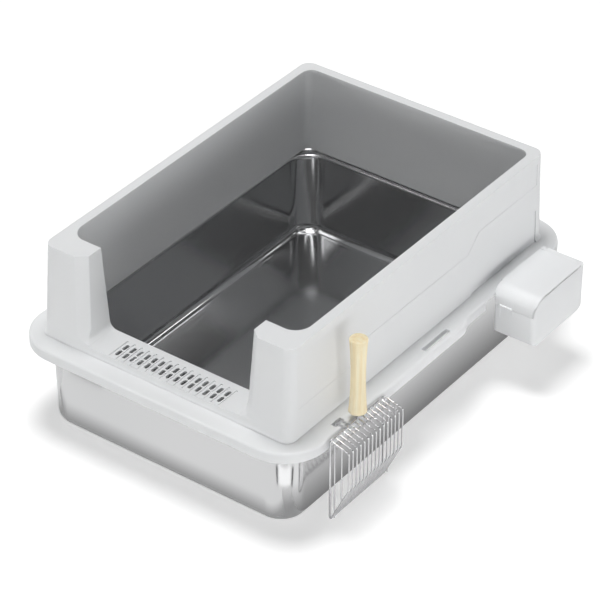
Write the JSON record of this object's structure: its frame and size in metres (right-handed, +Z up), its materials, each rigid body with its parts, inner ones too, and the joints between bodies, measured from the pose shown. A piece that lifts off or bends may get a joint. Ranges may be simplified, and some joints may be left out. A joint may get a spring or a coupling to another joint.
{
  "type": "litter box",
  "caption": "Steel litter pan under a plastic rim frame and high wall with a low slotted entry step, with a lidded waste bin and a wire scoop hung on the rim.",
  "frame": {"origin": "middle of the steel pan's underside, where the box rests on the floor", "axes": "+Z up, -Y towards the entry, +X towards the side that carries the bin and the scoop"},
  "size_m": [0.5305, 0.6494, 0.2775],
  "materials": {
    "stainless_sheet": "bright satin stainless steel sheet",
    "rim_plastic": "satin moulded light grey plastic",
    "wall_plastic": "satin moulded light grey plastic",
    "bin_plastic": "smooth moulded white plastic",
    "pin_steel": "plain steel rod",
    "handle_wood": "pale turned wood",
    "wire_steel": "polished stainless wire"
  },
  "bodies": {
    "pan": {"steel_pan": "stainless_sheet"},
    "frame": {"rim_frame": "rim_plastic"},
    "wall": {"high_wall": "wall_plastic"},
    "bin": {"bin_body": "bin_plastic", "bin_lid_pin": "pin_steel"},
    "lid": {"bin_lid": "bin_plastic"},
    "scoop": {"scoop_handle": "handle_wood", "scoop_tang": "wire_steel", "scoop_rim_wire": "wire_steel", "scoop_tines": "wire_steel", "scoop_left_end": "wire_steel", "scoop_right_end": "wire_steel", "scoop_cross_wire": "wire_steel", "scoop_hook_wire": "wire_steel"}
  },
  "joints": [
    {"name": "frame_lift", "type": "slide", "parent": "pan", "child": "frame", "axis": [0, 0, 1], "range_m": [0, 0.15]},
    {"name": "wall_lift", "type": "slide", "parent": "frame", "child": "wall", "axis": [0, 0, 1], "range_m": [0, 0.15]},
    {"name": "scoop_lift", "type": "slide", "parent": "frame", "child": "scoop", "axis": [0, 0, 1], "range_m": [0, 0.15]},
    {"name": "bin_lift", "type": "slide", "parent": "frame", "child": "bin", "axis": [0, 0, 1], "range_m": [0, 0.08]},
    {"name": "lid_hinge", "type": "hinge", "parent": "bin", "child": "lid", "pos_m": [0.2619, 0.2565, 0.148], "axis": [-1, 0, 0], "range_deg": [0, 100]}
  ]
}
